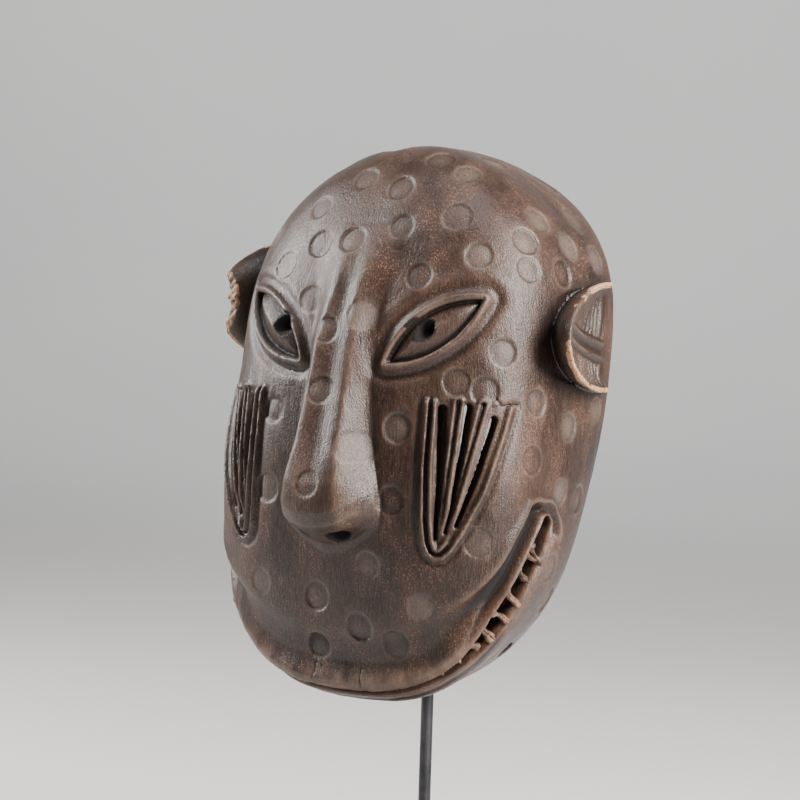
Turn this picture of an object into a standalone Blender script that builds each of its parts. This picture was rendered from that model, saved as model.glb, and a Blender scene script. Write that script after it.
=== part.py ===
"""Carved wooden face mask on a steel display stand.

Metres, +Z up. The face looks towards -Y. The origin is the centre of the base's underside.
Inside the mask, F is the distance in front of the rod's axis and H the height above the mask's
own datum, so a mask point (X, F, H) stands at (X, ROD_Y - F, MASK_Z + H).
"""
import math

import bmesh
import bpy
import numpy as np
from mathutils import Matrix, Vector

# ---------------------------------------------------------------- driving dimensions
MM = 0.001
GAP = 0.3 * MM                 # between pieces that touch

ROD_Y = 20.0 * MM              # the rod stands behind the middle of the base
MASK_Z = 150.0 * MM            # height of the mask's datum

# The head: height, half width, front depth, widest section, back depth
HEAD_H = (0.0, 60.0, 128.0, 200.0, 260.0, 310.0)
HEAD_HALF = (83.0, 98.5, 99.0, 96.5, 104.5, 104.5)
HEAD_FRONT = (49.5, 44.0, 51.5, 68.5, 70.5, 70.5)
HEAD_MID = (57.5, 56.0, 47.0, 23.5, 15.0, 15.0)
HEAD_BACK = (100.0, 107.0, 115.0, 126.0, 133.0, 133.0)
HEAD_TOP = 310.0
HEAD_BOTTOM = 12.0
HEAD_BELLY = 190.0             # where the head is fullest
CROWN_POWER = 2.03
CHIN_POWER = 3.07
SIDE_POWER = 2.75
WALL = 9.0                     # carved wall thickness

# The back opening, as (F, H) down its edge
RIM = ((-36.0, 330.0), (-36.0, 104.0), (-31.0, 78.0), (-14.0, 52.0), (10.0, 34.0), (34.0, 20.0), (56.0, 2.0))

# The mouth lies in one slanting plane: along it S runs down from the corner, N is across it
MOUTH_N = 85.0
MOUTH_DOWN = (0.468, -0.884)
MOUTH_ACROSS = (0.884, 0.468)
CORNER_S = -82.0

# Cheek fans: (U, H) outlines, U across a plane turned FAN_TURN from the front
FAN_TURN = 35.0
FAN_PAD = ((-9.0, 176.0), (36.0, 178.0), (38.0, 165.0), (24.0, 125.0), (10.0, 98.0), (3.0, 91.0),
           (-5.0, 93.0), (-9.0, 104.0), (-11.0, 130.0))
FAN_SLOTS = (((-1.5, 171.0), (5.5, 172.0), (-0.5, 101.0), (-3.5, 101.0)),
             ((11.5, 172.0), (18.5, 172.0), (3.6, 104.0), (1.6, 103.0)),
             ((24.5, 168.0), (31.5, 166.0), (9.0, 109.0), (6.6, 107.0)))

# Eyes: inner corner, outer corner, greatest half height, pupil
EYE_IN = (30.0, 190.0)
EYE_OUT = (77.0, 228.0)
EYE_HALF = 13.0
LID_R = 3.2
PUPIL = (52.5, 213.0)
PUPIL_R = 5.2

# Nose sections: H, half width, rise off the face
NOSE = ((264.0, 9.0, 0.5), (244.0, 12.0, 5.0), (214.0, 13.0, 9.0), (176.0, 15.5, 12.0), (140.0, 21.0, 15.0),
        (120.0, 26.0, 18.0), (107.0, 28.0, 18.0), (99.0, 26.0, 12.0), (94.0, 20.0, 2.0))

# Ears: a half bowl open to the side, hung on the head's back edge
EAR_BACK = (99.0, -20.0)       # X and F of the middle of its straight side
EAR_FRONT = (117.0, 54.0)      # X and F of its foremost rim
EAR_H = {"l": 208.0, "r": 223.0}   # hand-carved, so one ear sits higher
EAR_HALF_H = 30.0
EAR_DEEP = 27.0
EAR_WALL = 5.0

# Teeth: S along the mouth, for each side
TOOTH_S = (-62.0, -50.0, -38.0, -27.5, -18.0, -10.0, -2.0, 4.5)
TOOTH_TALL = 7.0 * MM
CHIN_TOOTH_TALL = 5.2 * MM

# Stand
BASE_SIDE = 200.0 * MM
BASE_T = 22.0 * MM
PAD_R = 9.0 * MM
PAD_T = 3.0 * MM
ROD_R = 3.5 * MM
ROD_TOP = MASK_Z + 196.0 * MM
COLLAR_R = 15.0 * MM
COLLAR_T = 16.0 * MM
FLANGE_R = 27.0 * MM
FLANGE_T = 4.0 * MM
BORE_R = 3.56 * MM
SCREW_PCR = 20.0 * MM
BAR_R = 2.5 * MM

WOOD = (0.075, 0.042, 0.030, 1.0)
BARE_WOOD = (0.62, 0.42, 0.27, 1.0)
STEEL = (0.035, 0.036, 0.040, 1.0)
PAINT = (0.020, 0.020, 0.022, 1.0)
BRASS = (0.55, 0.42, 0.20, 1.0)
FELT = (0.060, 0.060, 0.065, 1.0)
RUBBER = (0.030, 0.030, 0.030, 1.0)


# ---------------------------------------------------------------- scene and materials
for old in list(bpy.data.objects):
    bpy.data.objects.remove(old, do_unlink=True)

model = bpy.data.collections.new("carved_wooden_mask")
cutters = bpy.data.collections.new("cutters")
bpy.context.scene.collection.children.link(model)
bpy.context.scene.collection.children.link(cutters)
cutters.hide_render = True


def material(name, color, roughness, metallic=0.0):
    made = bpy.data.materials.new(name)
    made.use_nodes = True
    shader = made.node_tree.nodes["Principled BSDF"]
    shader.inputs["Base Color"].default_value = color
    shader.inputs["Roughness"].default_value = roughness
    shader.inputs["Metallic"].default_value = metallic
    made.diffuse_color = color
    return made


MATERIALS = {
    "wood": material("carved_wood", WOOD, 0.42),
    "bare": material("bare_wood", BARE_WOOD, 0.7),
    "steel": material("blackened_steel", STEEL, 0.4, 0.9),
    "paint": material("black_paint", PAINT, 0.5),
    "brass": material("brass", BRASS, 0.3, 1.0),
    "felt": material("felt", FELT, 0.95),
    "rubber": material("rubber", RUBBER, 0.8),
}


def add(name, mesh, slot):
    obj = bpy.data.objects.new(name, mesh)
    obj.data.materials.append(MATERIALS[slot])
    model.objects.link(obj)
    return obj


def helper(name, mesh):
    obj = bpy.data.objects.new(name, mesh)
    cutters.objects.link(obj)
    obj.hide_render = True
    obj.display_type = "WIRE"
    return obj


def finish(bm, name):
    bmesh.ops.recalc_face_normals(bm, faces=bm.faces)
    mesh = bpy.data.meshes.new(name)
    bm.to_mesh(mesh)
    bm.free()
    return mesh


def boolean(obj, other, operation, label):
    modifier = obj.modifiers.new(label, "BOOLEAN")
    modifier.operation = operation
    modifier.solver = "EXACT"
    modifier.object = other
    return modifier


def cylinder(name, radius, height, segments=24, low=0.0, taper=None):
    """A cylinder on +Z whose foot is at `low`."""
    bm = bmesh.new()
    bmesh.ops.create_cone(bm, cap_ends=True, segments=segments, radius1=radius,
                          radius2=radius if taper is None else taper, depth=height)
    bmesh.ops.translate(bm, verts=bm.verts, vec=(0.0, 0.0, low + height / 2))
    return finish(bm, name)


def box(name, size):
    bm = bmesh.new()
    bmesh.ops.create_cube(bm, size=1.0)
    bmesh.ops.scale(bm, verts=bm.verts, vec=size)
    return finish(bm, name)


def sphere(name, radii, u_segments, v_segments):
    bm = bmesh.new()
    bmesh.ops.create_uvsphere(bm, u_segments=u_segments, v_segments=v_segments, radius=1.0)
    bmesh.ops.scale(bm, verts=bm.verts, vec=radii)
    return finish(bm, name)


def prism(name, outline, half, matrix):
    """A flat outline given thickness both ways, then turned into a mesh and placed by `matrix`."""
    curve = bpy.data.curves.new(name, "CURVE")
    curve.dimensions = "2D"
    curve.fill_mode = "BOTH"
    curve.extrude = half
    spline = curve.splines.new("POLY")
    spline.points.add(len(outline) - 1)
    for point, (x, y) in zip(spline.points, outline):
        point.co = (x, y, 0.0, 1.0)
    spline.use_cyclic_u = True
    return meshed(name, curve, matrix)


def meshed(name, curve, matrix=Matrix.Identity(4)):
    """The mesh of a curve, with its seams closed."""
    drawn = bpy.data.objects.new(name + "_curve", curve)
    mesh = bpy.data.meshes.new_from_object(drawn)
    bpy.data.objects.remove(drawn)
    bm = bmesh.new()
    bm.from_mesh(mesh)
    bmesh.ops.remove_doubles(bm, verts=bm.verts, dist=1e-6)
    bmesh.ops.transform(bm, matrix=matrix, verts=bm.verts)
    return finish(bm, name)


def tube(name, points, radius, cyclic=False, sides=1):
    """A round bar along a line of points, with closed ends."""
    curve = bpy.data.curves.new(name, "CURVE")
    curve.dimensions = "3D"
    curve.bevel_depth = radius
    curve.bevel_resolution = sides
    curve.use_fill_caps = True
    spline = curve.splines.new("POLY")
    spline.points.add(len(points) - 1)
    for point, place in zip(spline.points, points):
        point.co = (*place, 1.0)
    spline.use_cyclic_u = cyclic
    return meshed(name, curve)


# ---------------------------------------------------------------- the head's own surface
def smooth(heights, values, h):
    """A smooth curve through the section sizes."""
    heights = np.array(heights)
    values = np.array(values)
    slope = np.gradient(values, heights)
    h = np.clip(h, heights[0], heights[-1])
    i = np.clip(np.searchsorted(heights, h) - 1, 0, len(heights) - 2)
    step = heights[i + 1] - heights[i]
    t = (h - heights[i]) / step
    return (values[i] * (1 + 2 * t) * (1 - t) ** 2 + slope[i] * step * t * (1 - t) ** 2
            + values[i + 1] * t * t * (3 - 2 * t) + slope[i + 1] * step * t * t * (t - 1))


def fullness(h):
    """How much of the full section is left at this height: 1 at the belly, 0 at crown and chin."""
    if h > HEAD_BELLY:
        u, power = (h - HEAD_BELLY) / (HEAD_TOP - HEAD_BELLY), CROWN_POWER
    else:
        u, power = (HEAD_BELLY - h) / (HEAD_BELLY - HEAD_BOTTOM), CHIN_POWER
    return max(0.0, 1.0 - min(1.0, u) ** power) ** (1.0 / power)


def face_f(x, h):
    """F of the head's front surface at (X, H)."""
    full = fullness(h)
    side = min(1.0, abs(x) / (smooth(HEAD_H, HEAD_HALF, h) * full))
    out = max(0.0, 1.0 - side ** SIDE_POWER) ** (1.0 / SIDE_POWER)
    return float(smooth(HEAD_H, HEAD_MID, h) + smooth(HEAD_H, HEAD_FRONT, h) * full * out)


def place(x, f, h):
    return Vector((x * MM, ROD_Y - f * MM, MASK_Z + h * MM))


def egg(name, grow, u_segments, v_segments):
    """The head's outer shape as a closed solid, grown by `grow` millimetres."""
    bm = bmesh.new()
    bmesh.ops.create_uvsphere(bm, u_segments=u_segments, v_segments=v_segments, radius=1.0)
    for vertex in bm.verts:
        sine = max(-1.0, min(1.0, vertex.co.z))
        round_part = math.sqrt(max(0.0, 1.0 - sine * sine))
        if sine >= 0.0:
            power, reach = CROWN_POWER, HEAD_TOP - HEAD_BELLY
        else:
            power, reach = CHIN_POWER, HEAD_BELLY - HEAD_BOTTOM
        rise = math.copysign(abs(sine) ** (2.0 / power), sine)
        full = round_part ** (2.0 / power)
        h = HEAD_BELLY + rise * reach
        angle = math.atan2(vertex.co.x, -vertex.co.y)
        s, c = math.sin(angle), math.cos(angle)
        half = smooth(HEAD_H, HEAD_HALF, h) + grow
        deep = (smooth(HEAD_H, HEAD_FRONT, h) if c > 0 else smooth(HEAD_H, HEAD_BACK, h)) + grow
        x = half * full * math.copysign(abs(s) ** (2.0 / SIDE_POWER), s)
        f = smooth(HEAD_H, HEAD_MID, h) + deep * full * math.copysign(abs(c) ** (2.0 / SIDE_POWER), c)
        vertex.co = place(x, f, HEAD_BELLY + rise * (reach + grow))
    return finish(bm, name)


def across_x():
    """Takes a prism drawn in (F, H) millimetres to the mask, extruded along X."""
    turn = Matrix(((0.0, 0.0, 1.0), (-1.0, 0.0, 0.0), (0.0, 1.0, 0.0))).to_4x4()
    return Matrix.Translation(place(0.0, 0.0, 0.0)) @ turn @ Matrix.Scale(MM, 4)


def mouth_slab(name, outline, half=150.0):
    """A prism across the mask drawn in (S, N), the mouth plane's own coordinates."""
    drawn = [(s * MOUTH_DOWN[0] + n * MOUTH_ACROSS[0], s * MOUTH_DOWN[1] + n * MOUTH_ACROSS[1])
             for s, n in outline]
    return prism(name, drawn, half, across_x())


def turned(side, angle):
    """Axes of a cheek or eye plane: its local X runs outward across the face, Y up, Z out of the face."""
    a = math.radians(angle) * side
    across = Vector((math.cos(a), math.sin(a), 0.0))
    out = Vector((math.sin(a), -math.cos(a), 0.0))
    return Matrix((across, Vector((0.0, 0.0, 1.0)), out)).transposed().to_4x4()


def cheek_prism(name, side, outline, near, far):
    """A prism across one cheek, drawn in (U, H), from `near` to `far` millimetres off the rod's axis."""
    points = [(side * u, h) for u, h in outline]
    middle = Matrix.Translation(place(0.0, 0.0, 0.0)) @ turned(side, FAN_TURN) @ Matrix.Scale(MM, 4)
    return prism(name, points, (far - near) / 2, middle @ Matrix.Translation((0.0, 0.0, (far + near) / 2)))


# ---------------------------------------------------------------- the mask: one carved block
mask = add("mask_shell", egg("mask_shell", 0.0, 56, 34), "wood")
core = egg("hollow", -WALL, 36, 22)
skin_low = egg("skin_low", -6.5, 56, 34)


def raised(name, mesh, shell):
    """Keeps only the part of a prism that lies inside a grown head, so that it follows the surface."""
    part = helper(name, mesh)
    boolean(part, helper(name + "_skin", shell), "INTERSECT", "follow surface")
    return part


# chin ledge and lips
ledge = raised("chin_ledge", mouth_slab("chin_ledge", ((-25.0, 92.0), (40.0, 92.0), (40.0, 101.0), (-20.0, 103.0))),
               egg("ledge_skin", 5.0, 56, 34))
boolean(mask, ledge, "UNION", "chin ledge")
lower_lip = raised("lower_lip", mouth_slab("lower_lip", ((-78.0, 75.0), (40.0, 73.5), (40.0, 80.5), (-78.0, 80.5))),
                   egg("lip_skin", 2.6, 56, 34))
boolean(mask, lower_lip, "UNION", "lower lip")

# cheek fans, raised a little off the cheeks
for side, tag in ((1, "l"), (-1, "r")):
    pad = raised("fan_" + tag, cheek_prism("fan_" + tag, side, FAN_PAD, 20.0, 130.0), egg("fan_skin_" + tag, 2.0, 56, 34))
    boolean(mask, pad, "UNION", "fan " + tag)


def nose_mesh():
    """The nose as a loft of eight-sided sections that sit on the face."""
    bm = bmesh.new()
    rings = []
    for h, half, rise in NOSE:
        ring = []
        for across, up in ((-1.12, -8.0), (-1.0, 0.3 * rise), (-0.72, 0.85 * rise), (-0.3, rise),
                           (0.3, rise), (0.72, 0.85 * rise), (1.0, 0.3 * rise), (1.12, -8.0)):
            x = across * half
            ring.append(bm.verts.new(place(x, face_f(x, h) + up, h)))
        rings.append(ring)
    for lower, upper in zip(rings[1:], rings[:-1]):
        for i in range(8):
            j = (i + 1) % 8
            bm.faces.new((lower[i], lower[j], upper[j], upper[i]))
    bm.faces.new(rings[0])
    bm.faces.new(rings[-1])
    return finish(bm, "nose")


boolean(mask, helper("nose", nose_mesh()), "UNION", "nose")


def eye_outline(grow):
    """Twenty points round the almond, in (X, H)."""
    ax, ah = EYE_IN
    bx, bh = EYE_OUT
    length = math.hypot(bx - ax, bh - ah)
    ux, uh = (bx - ax) / length, (bh - ah) / length
    points = []
    for k in range(20):
        angle = 2 * math.pi * k / 20
        along = (length / 2 + grow * 1.3) * math.cos(angle)
        lift = (EYE_HALF + grow) * math.sin(angle) * (0.55 + 0.45 * abs(math.sin(angle)))
        points.append(((ax + bx) / 2 + along * ux - lift * uh, (ah + bh) / 2 + along * uh + lift * ux))
    return points


def eye_plane(side):
    return Matrix.Translation(place(0.0, 0.0, 0.0)) @ turned(side, 0.0) @ Matrix.Scale(MM, 4)


for side, tag in ((1, "l"), (-1, "r")):
    lid_points = [place(side * x, face_f(x, h) - 0.4, h) for x, h in eye_outline(0.5)]
    boolean(mask, helper("lid_" + tag, tube("lid_" + tag, lid_points, LID_R * MM, True)), "UNION", "lid " + tag)
    socket_mesh = prism("socket_" + tag, [(side * x, h) for x, h in eye_outline(-2.2)], 40.0,
                        eye_plane(side) @ Matrix.Translation((0.0, 0.0, 90.0)))
    eye_socket = helper("socket_" + tag, socket_mesh)
    boolean(eye_socket, helper("socket_floor_" + tag, skin_low.copy()), "DIFFERENCE", "floor")
    boolean(mask, eye_socket, "DIFFERENCE", "socket " + tag)
    ball = helper("eyeball_" + tag, sphere("eyeball_" + tag, (20.0 * MM, 8.5 * MM, 9.0 * MM), 16, 10))
    slant = math.atan2(EYE_OUT[1] - EYE_IN[1], EYE_OUT[0] - EYE_IN[0])
    ball.matrix_world = (Matrix.Translation(place(side * 53.0, face_f(53.0, 209.5) - 8.0, 209.5))
                         @ Matrix.Rotation(side * math.radians(20.0), 4, "Z")
                         @ Matrix.Rotation(-side * slant, 4, "Y"))
    boolean(mask, ball, "UNION", "eyeball " + tag)

for side, tag in ((1, "l"), (-1, "r")):
    bowl_dir = Vector((EAR_FRONT[0] - EAR_BACK[0], EAR_FRONT[1] - EAR_BACK[1]))
    reach = bowl_dir.length
    bowl_dir.normalize()
    forward = Vector((side * bowl_dir.x, -bowl_dir.y, 0.0))
    outward = Vector((side * bowl_dir.y, bowl_dir.x, 0.0))
    frame = Matrix((forward, Vector((0.0, 0.0, 1.0)), outward)).transposed().to_4x4()
    frame = Matrix.Translation(place(side * EAR_BACK[0], EAR_BACK[1], EAR_H[tag])) @ frame
    ear = helper("ear_" + tag, sphere("ear_" + tag, (reach * MM, EAR_HALF_H * MM, EAR_DEEP * MM), 32, 16))
    ear.matrix_world = frame
    face = helper("ear_face_" + tag, box("ear_face_" + tag, (0.3, 0.1, 0.06)))
    face.matrix_world = frame @ Matrix.Translation((0.0, 0.0, 0.0302))
    boolean(ear, face, "DIFFERENCE", "open side")
    rear = helper("ear_rear_" + tag, box("ear_rear_" + tag, (0.2, 0.1, 0.1)))
    rear.matrix_world = frame @ Matrix.Translation((-0.102, 0.0, 0.0))
    boolean(ear, rear, "DIFFERENCE", "rear half, which the head takes in")
    boolean(mask, ear, "UNION", "ear " + tag)
    bowl = helper("bowl_" + tag, sphere("bowl_" + tag, ((reach - EAR_WALL) * MM, (EAR_HALF_H - EAR_WALL + 1) * MM,
                                                      (EAR_DEEP - 10.0) * MM), 24, 12))
    bowl.matrix_world = frame
    boolean(bowl, helper("bowl_floor_" + tag, egg("bowl_floor_" + tag, -1.5, 56, 34)), "DIFFERENCE", "floor")
    boolean(mask, bowl, "DIFFERENCE", "bowl " + tag)

# hollow the head and open its back
boolean(mask, helper("hollow", core), "DIFFERENCE", "hollow")
back = list(RIM) + [(56.0, -60.0), (-190.0, -60.0), (-190.0, 330.0)]
boolean(mask, helper("back_opening", prism("back_opening", back, 170.0, across_x())), "DIFFERENCE", "back opening")

# the groove above the lips, the mouth itself, the slots, pupils, nostrils and cord holes
groove = helper("lip_groove", mouth_slab("lip_groove", ((-80.0, 91.5), (-22.0, 91.0), (-22.0, 100.0), (-84.0, 103.0))))
boolean(groove, helper("groove_floor", egg("groove_floor", -5.5, 56, 34)), "DIFFERENCE", "floor")
boolean(mask, groove, "DIFFERENCE", "lip groove")
mouth = ((-80.0, 81.5), (-82.0, 86.0), (-78.0, 89.5), (-10.0, 90.0), (10.0, 88.0), (60.0, 88.0),
         (60.0, 81.5), (10.0, 81.5))
boolean(mask, helper("mouth", mouth_slab("mouth", mouth)), "DIFFERENCE", "mouth")

for side, tag in ((1, "l"), (-1, "r")):
    for number, outline in enumerate(FAN_SLOTS, 1):
        slot = helper(f"slot_{tag}_{number}", cheek_prism(f"slot_{tag}_{number}", side, outline, 20.0, 130.0))
        boolean(mask, slot, "DIFFERENCE", f"slot {tag} {number}")
    pupil = helper("pupil_" + tag, cylinder("pupil_" + tag, PUPIL_R * MM, 60.0 * MM, 16, -30.0 * MM))
    pupil.matrix_world = (Matrix.Translation(place(side * PUPIL[0], face_f(*PUPIL), PUPIL[1]))
                          @ Matrix.Rotation(math.radians(90.0), 4, "X"))
    boolean(mask, pupil, "DIFFERENCE", "pupil " + tag)
    nostril = helper("nostril_" + tag, cylinder("nostril_" + tag, 4.2 * MM, 26.0 * MM, 12, -10.0 * MM))
    nostril.matrix_world = (Matrix.Translation(place(side * 11.0, face_f(11.0, 97.0) + 7.0, 97.0))
                            @ Matrix.Rotation(math.radians(-20.0), 4, "X"))
    boolean(mask, nostril, "DIFFERENCE", "nostril " + tag)
    cord = helper("cord_hole_" + tag, cylinder("cord_hole_" + tag, 4.5 * MM, 60.0 * MM, 12, -30.0 * MM))
    cord.matrix_world = (Matrix.Translation(place(side * 64.0, 20.0, 40.0)) @ Matrix.Rotation(math.radians(90.0), 4, "Y")
                         @ Matrix.Scale(1.4, 4, Vector((1.0, 0.0, 0.0))))
    boolean(mask, cord, "DIFFERENCE", "cord hole " + tag)

# ---------------------------------------------------------------- teeth, standing on the lower lip
def mouth_point(side, s, n, back):
    """A point of the mouth: on the head's surface where the plane N meets it, `back` mm into the wall."""
    f = s * MOUTH_DOWN[0] + n * MOUTH_ACROSS[0]
    h = s * MOUTH_DOWN[1] + n * MOUTH_ACROSS[1]
    full = fullness(h)
    middle = float(smooth(HEAD_H, HEAD_MID, h))
    deep = float(smooth(HEAD_H, HEAD_FRONT if f > middle else HEAD_BACK, h)) * full
    side_left = max(0.0, 1.0 - min(1.0, abs(f - middle) / deep) ** SIDE_POWER) ** (1.0 / SIDE_POWER)
    x = (float(smooth(HEAD_H, HEAD_HALF, h)) * full - back) * side_left
    return x, f, h


across = Vector((0.0, -MOUTH_ACROSS[0], MOUTH_ACROSS[1]))
for side, tag in ((1, "l"), (-1, "r")):
    for number, s in enumerate(TOOTH_S, 1):
        x, f, h = mouth_point(side, s, MOUTH_N, 4.5)
        name = f"tooth_{tag}_{number}"
        tall = TOOTH_TALL if s < -12.0 else CHIN_TOOTH_TALL
        tooth = add(name, cylinder(name, 2.7 * MM, tall, 6, -3.1 * MM, 1.9 * MM), "bare")
        tooth.matrix_world = (Matrix.Translation(place(side * x, f, h))
                              @ across.to_track_quat("Z", "X").to_matrix().to_4x4()
                              @ Matrix.Rotation(0.4 * number, 4, "Z"))

# ---------------------------------------------------------------- the stand
base = add("stand_base", box("stand_base", (BASE_SIDE, BASE_SIDE, BASE_T)), "paint")
base.location = (0.0, 0.0, PAD_T + GAP + BASE_T / 2)
soften = base.modifiers.new("eased edges", "BEVEL")
soften.width = 2.0 * MM
soften.segments = 2
BASE_TOP = PAD_T + GAP + BASE_T
for number, (sx, sy) in enumerate(((1, 1), (1, -1), (-1, 1), (-1, -1)), 1):
    pad = add(f"foot_pad_{number}", cylinder(f"foot_pad_{number}", PAD_R, PAD_T, 20), "felt")
    pad.location = (sx * 0.082, sy * 0.082, 0.0)

socket_profile = [(BORE_R, 0.0), (FLANGE_R, 0.0), (FLANGE_R, FLANGE_T), (COLLAR_R, FLANGE_T),
                  (COLLAR_R, FLANGE_T + COLLAR_T - 1.5 * MM), (COLLAR_R - 1.5 * MM, FLANGE_T + COLLAR_T),
                  (BORE_R, FLANGE_T + COLLAR_T)]


def turned_part(name, profile, steps, closed):
    """A profile in (radius, height) turned about Z."""
    bm = bmesh.new()
    points = [bm.verts.new((r, 0.0, z)) for r, z in profile]
    edges = [bm.edges.new(pair) for pair in zip(points[:-1], points[1:])]
    if closed:
        edges.append(bm.edges.new((points[-1], points[0])))
    bmesh.ops.spin(bm, geom=bm.verts[:] + edges, cent=(0, 0, 0), axis=(0, 0, 1), angle=2 * math.pi,
                   steps=steps, use_merge=True)
    bmesh.ops.remove_doubles(bm, verts=bm.verts, dist=1e-6)
    return finish(bm, name)


SOCKET_Z = BASE_TOP + GAP
socket = add("rod_socket", turned_part("rod_socket", socket_profile, 32, True), "steel")
socket.location = (0.0, ROD_Y, SOCKET_Z)
for number in range(3):
    angle = math.radians(90.0 + 120.0 * number)
    hole = helper(f"screw_hole_{number + 1}", cylinder("screw_hole", 2.3 * MM, 20.0 * MM, 12, -10.0 * MM))
    hole.location = (SCREW_PCR * math.cos(angle), ROD_Y + SCREW_PCR * math.sin(angle), SOCKET_Z)
    boolean(socket, hole, "DIFFERENCE", f"screw hole {number + 1}")
    screw = add(f"flange_screw_{number + 1}", cylinder("flange_screw", 2.0 * MM, FLANGE_T + 0.6 * MM, 12, 0.0), "steel")
    head = helper(f"screw_head_{number + 1}", cylinder("screw_head", 4.0 * MM, 2.2 * MM, 16, FLANGE_T + GAP, 3.2 * MM))
    head.location = (SCREW_PCR * math.cos(angle), ROD_Y + SCREW_PCR * math.sin(angle), SOCKET_Z)
    screw.location = head.location
    boolean(screw, head, "UNION", "head")

# the clamping thumb screw in the socket's side, its point just off the rod
CLAMP_Z = SOCKET_Z + FLANGE_T + COLLAR_T * 0.5
clamp_hole = helper("clamp_hole", cylinder("clamp_hole", 2.6 * MM, 30.0 * MM, 16, 1.0 * MM))
clamp_hole.matrix_world = Matrix.Translation((0.0, ROD_Y, CLAMP_Z)) @ Matrix.Rotation(math.radians(90.0), 4, "Y")
boolean(socket, clamp_hole, "DIFFERENCE", "clamp hole")
clamp = add("clamp_screw", cylinder("clamp_screw", 2.45 * MM, 16.0 * MM, 16, ROD_R + 0.3 * MM), "brass")
clamp.matrix_world = Matrix.Translation((0.0, ROD_Y, CLAMP_Z)) @ Matrix.Rotation(math.radians(90.0), 4, "Y")
knob = helper("clamp_knob", cylinder("clamp_knob", 7.5 * MM, 7.0 * MM, 18, 17.0 * MM))
knob.matrix_world = clamp.matrix_world.copy()
boolean(clamp, knob, "UNION", "knob")

# rod, standing on the base
ROD_FOOT = BASE_TOP + GAP
rod = add("stand_rod", cylinder("stand_rod", ROD_R, ROD_TOP - ROD_FOOT, 32), "steel")
rod.location = (0.0, ROD_Y, ROD_FOOT)

# bracket on the rod: a sleeve, a bent arm up to the crown, two side arms and a chin arm
SLEEVE_Z = ROD_TOP - 26.0 * MM
sleeve_profile = [(ROD_R + GAP, 0.0), (7.0 * MM, 0.0), (7.0 * MM, 24.0 * MM), (ROD_R + GAP, 24.0 * MM)]
sleeve = add("bracket_sleeve", turned_part("bracket_sleeve", sleeve_profile, 24, True), "steel")
sleeve.location = (0.0, ROD_Y, SLEEVE_Z)
CROWN_H = HEAD_TOP - WALL - 5.8
ARM_H = 180.0
CHIN_ARM_H = 66.0
arm_points = [place(0.0, -9.8, 172.0), place(0.0, -9.8, 205.0), place(0.0, -8.0, 240.0), place(0.0, 0.0, 268.0),
              place(0.0, 12.0, CROWN_H - 7.0)]
add("crown_arm", tube("crown_arm", arm_points, BAR_R, False, 2), "steel")
crown_pad = add("crown_pad", sphere("crown_pad", (11.0 * MM, 11.0 * MM, 5.0 * MM), 20, 10), "felt")
crown_pad.location = place(0.0, 12.0, CROWN_H)
for side, tag in ((1, "l"), (-1, "r")):
    arm = [place(side * 7.3, -4.0, ARM_H), place(side * 20.0, -10.0, ARM_H), place(side * 60.0, -31.0, ARM_H),
           place(side * 76.0, -31.0, ARM_H)]
    add("side_arm_" + tag, tube("side_arm_" + tag, arm, BAR_R, False, 2), "steel")
    tip = add("arm_tip_" + tag, sphere("arm_tip_" + tag, (2.2 * MM, 4.0 * MM, 4.0 * MM), 12, 8), "rubber")
    tip.location = place(side * 78.6, -31.0, ARM_H)
clip = add("chin_clip", turned_part("chin_clip", [(r, 0.6 * z) for r, z in sleeve_profile], 24, True), "steel")
clip.location = place(0.0, 0.0, CHIN_ARM_H - 7.2)
chin_arm = [place(0.0, 7.4, CHIN_ARM_H), place(0.0, 78.0, CHIN_ARM_H)]
add("chin_arm", tube("chin_arm", chin_arm, BAR_R, False, 2), "steel")
chin_tip = add("chin_tip", sphere("chin_tip", (4.5 * MM, 2.6 * MM, 4.5 * MM), 12, 8), "rubber")
chin_tip.location = place(0.0, 81.0, CHIN_ARM_H)
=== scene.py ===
import math

import bmesh
import bpy
import numpy as np
from mathutils import Matrix, Vector


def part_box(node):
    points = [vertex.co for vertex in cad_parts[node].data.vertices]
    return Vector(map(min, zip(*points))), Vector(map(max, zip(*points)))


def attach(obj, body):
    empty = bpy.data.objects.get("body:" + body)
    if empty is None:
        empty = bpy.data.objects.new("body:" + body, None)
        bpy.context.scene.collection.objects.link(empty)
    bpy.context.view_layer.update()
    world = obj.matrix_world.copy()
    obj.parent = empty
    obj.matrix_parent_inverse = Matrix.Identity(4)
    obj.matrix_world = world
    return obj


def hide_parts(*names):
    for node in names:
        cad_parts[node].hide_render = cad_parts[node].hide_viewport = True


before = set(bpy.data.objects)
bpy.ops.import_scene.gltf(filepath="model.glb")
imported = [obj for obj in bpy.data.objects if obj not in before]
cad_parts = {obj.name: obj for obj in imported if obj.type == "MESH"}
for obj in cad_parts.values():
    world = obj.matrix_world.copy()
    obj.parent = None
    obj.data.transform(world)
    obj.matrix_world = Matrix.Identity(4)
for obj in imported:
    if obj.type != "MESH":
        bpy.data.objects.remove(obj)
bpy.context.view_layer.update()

# ---------------------------------------------------------------- sizes, in millimetres inside the mask
# A mask point (X, F, H): X across, F in front of the rod's axis, H above the mask's datum.
ROD_Y = 0.020
MASK_Z = 0.150
VOXEL = 1.0

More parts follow.
